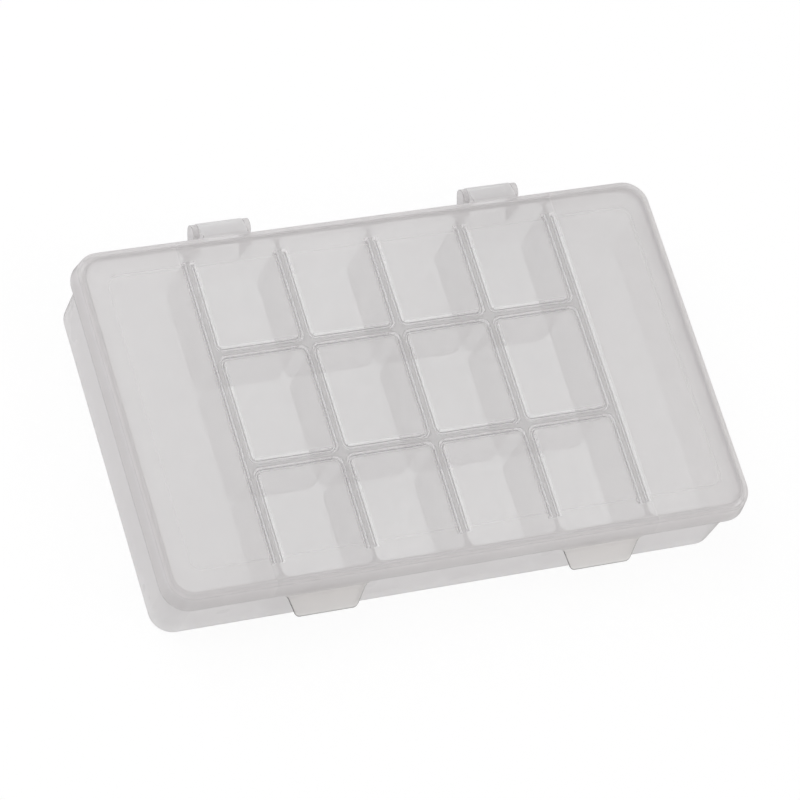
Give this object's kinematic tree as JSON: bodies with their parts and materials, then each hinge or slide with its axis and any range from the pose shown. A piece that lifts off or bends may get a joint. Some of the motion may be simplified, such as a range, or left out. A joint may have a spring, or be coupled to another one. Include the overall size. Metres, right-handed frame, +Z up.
{
  "type": "compartment bead box with hinged lid",
  "caption": "Shallow translucent bead organizer: a tray moulded with a fixed grid of compartments and one snap-hinged lid with two finger tabs.",
  "frame": {"origin": "middle of the box seen from above, on the surface it rests on", "axes": "+Z up, +Y to the hinges at the back, latch tabs at the front (-Y), +X to the right seen from the front"},
  "size_m": [0.271, 0.1807, 0.0429],
  "materials": {
    "tray_plastic": "natural translucent polypropylene, satin moulded",
    "lid_plastic": "natural translucent polypropylene, smooth satin"
  },
  "bodies": {
    "tray": {"tray": "tray_plastic"},
    "lid": {"lid": "lid_plastic"},
    "latch_left": {"latch_left": "lid_plastic"},
    "latch_right": {"latch_right": "lid_plastic"}
  },
  "joints": [
    {"name": "lid_hinge", "type": "hinge", "parent": "tray", "child": "lid", "pos_m": [0, 0.08645, 0.0337], "axis": [-1, 0, 0], "range_deg": [0, 180]},
    {"name": "latch_left_flex", "type": "hinge", "parent": "lid", "child": "latch_left", "pos_m": [-0.0636, -0.08354, 0.0318], "axis": [-1, 0, 0], "range_deg": [0, 12], "stiffness_Nm_per_rad": 0.5},
    {"name": "latch_right_flex", "type": "hinge", "parent": "lid", "child": "latch_right", "pos_m": [0.0636, -0.08354, 0.0318], "axis": [-1, 0, 0], "range_deg": [0, 12], "stiffness_Nm_per_rad": 0.5}
  ]
}
